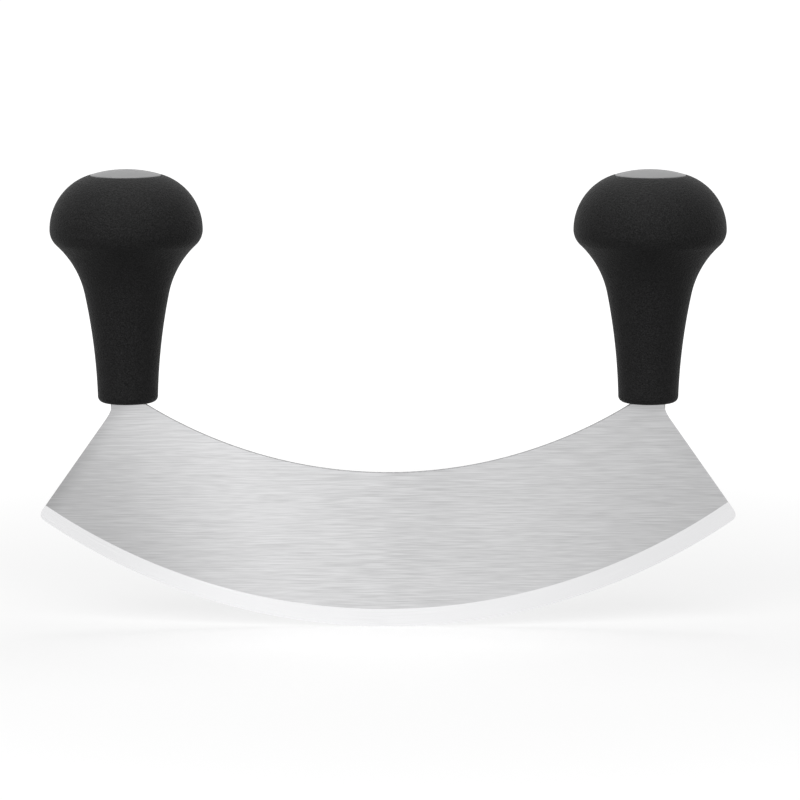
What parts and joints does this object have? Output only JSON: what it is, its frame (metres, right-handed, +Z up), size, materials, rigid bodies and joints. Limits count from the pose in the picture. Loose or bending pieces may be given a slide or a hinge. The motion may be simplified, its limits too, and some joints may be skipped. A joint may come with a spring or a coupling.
{
  "type": "mezzaluna",
  "caption": "Crescent chopping knife that is rocked by two upright black knob handles with grey caps.",
  "frame": {"origin": "lowest point of the cutting edge, at the middle of the blade's length and thickness", "axes": "+X along the blade to the right-hand handle, +Y across the blade away from the viewer, +Z up through the handles"},
  "size_m": [0.2308, 0.0502, 0.1527],
  "materials": {
    "blade_steel": "finely brushed along the blade, ground bright on the bevel",
    "grip_plastic": "black, finely grained",
    "core_plastic": "dark grey, as moulded",
    "rod_steel": "bright turned steel",
    "zinc_steel": "zinc plated",
    "spring_steel": "oiled dark spring steel",
    "cap_plastic": "satin grey"
  },
  "bodies": {
    "root": {"blade": "blade_steel", "left_grip": "grip_plastic", "left_core": "core_plastic", "left_rod": "rod_steel", "left_washer": "zinc_steel", "left_spring_washer": "spring_steel", "left_nut": "zinc_steel", "left_cap": "cap_plastic", "right_grip": "grip_plastic", "right_core": "core_plastic", "right_rod": "rod_steel", "right_washer": "zinc_steel", "right_spring_washer": "spring_steel", "right_nut": "zinc_steel", "right_cap": "cap_plastic"}
  },
  "joints": []
}
